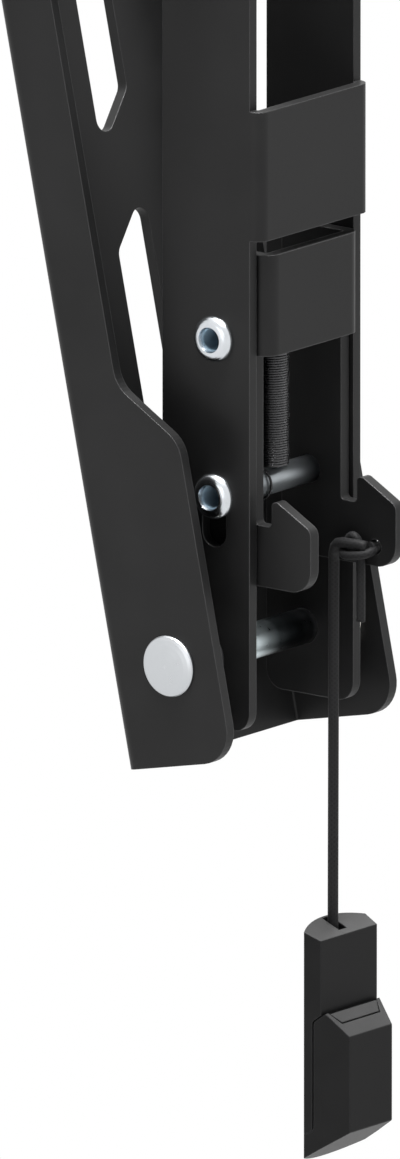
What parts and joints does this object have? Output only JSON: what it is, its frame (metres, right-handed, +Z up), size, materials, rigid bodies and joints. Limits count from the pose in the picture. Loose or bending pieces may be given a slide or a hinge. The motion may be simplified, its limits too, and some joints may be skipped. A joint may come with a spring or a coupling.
{
  "type": "tilting tv wall mount arm",
  "caption": "Folded steel arm pair of a tilting television wall mount: slotted TV arm pivoting on a hooked wall arm with a sprung, cord-released bottom latch.",
  "frame": {"origin": "centre of the hook notch's seat, midway between the two hook flanges, where the arm hangs on the wall rail", "axes": "+Z up the wall, +Y towards the wall, +X across the arm; the television is on the -Y side"},
  "size_m": [0.0801, 0.1334, 0.5255],
  "materials": {
    "black_steel": "satin black powder coat",
    "zinc": "bright zinc plate",
    "black_wire": "black oiled spring wire",
    "nylon": "natural nylon",
    "black_nylon": "moulded black nylon",
    "grip_plastic": "fine textured black moulding",
    "cord": "braided black cord"
  },
  "bodies": {
    "wall": {"wall_arm": "black_steel", "pivot_rivet": "zinc", "pivot_bush_left": "black_nylon", "pivot_bush_right": "black_nylon", "pivot_washer_left": "nylon", "pivot_washer_right": "nylon", "upper_guide_rivet": "zinc", "tilt_bolt": "zinc", "tilt_bush_left": "black_nylon", "tilt_bush_right": "black_nylon", "tilt_washer_left": "zinc", "tilt_washer_right": "zinc", "tilt_lock_nut": "zinc", "latch_spring": "black_wire"},
    "tv": {"tv_arm": "black_steel"},
    "latch": {"latch": "black_steel", "lower_guide_rivet": "zinc", "pull_cord": "cord", "cord_knot": "cord", "grip_body": "grip_plastic", "grip_cover": "grip_plastic", "grip_clip": "grip_plastic"}
  },
  "joints": [
    {"name": "tv_tilt", "type": "hinge", "parent": "wall", "child": "tv", "pos_m": [0, -0.0167, -0.236], "axis": [1, 0, 0], "range_deg": [-12.1, 0]},
    {"name": "latch_pull", "type": "slide", "parent": "wall", "child": "latch", "axis": [0, 0, -1], "range_m": [0, 0.008], "stiffness_N_per_m": 600, "springref_m": -0.012, "deforming": ["latch_spring"]}
  ]
}
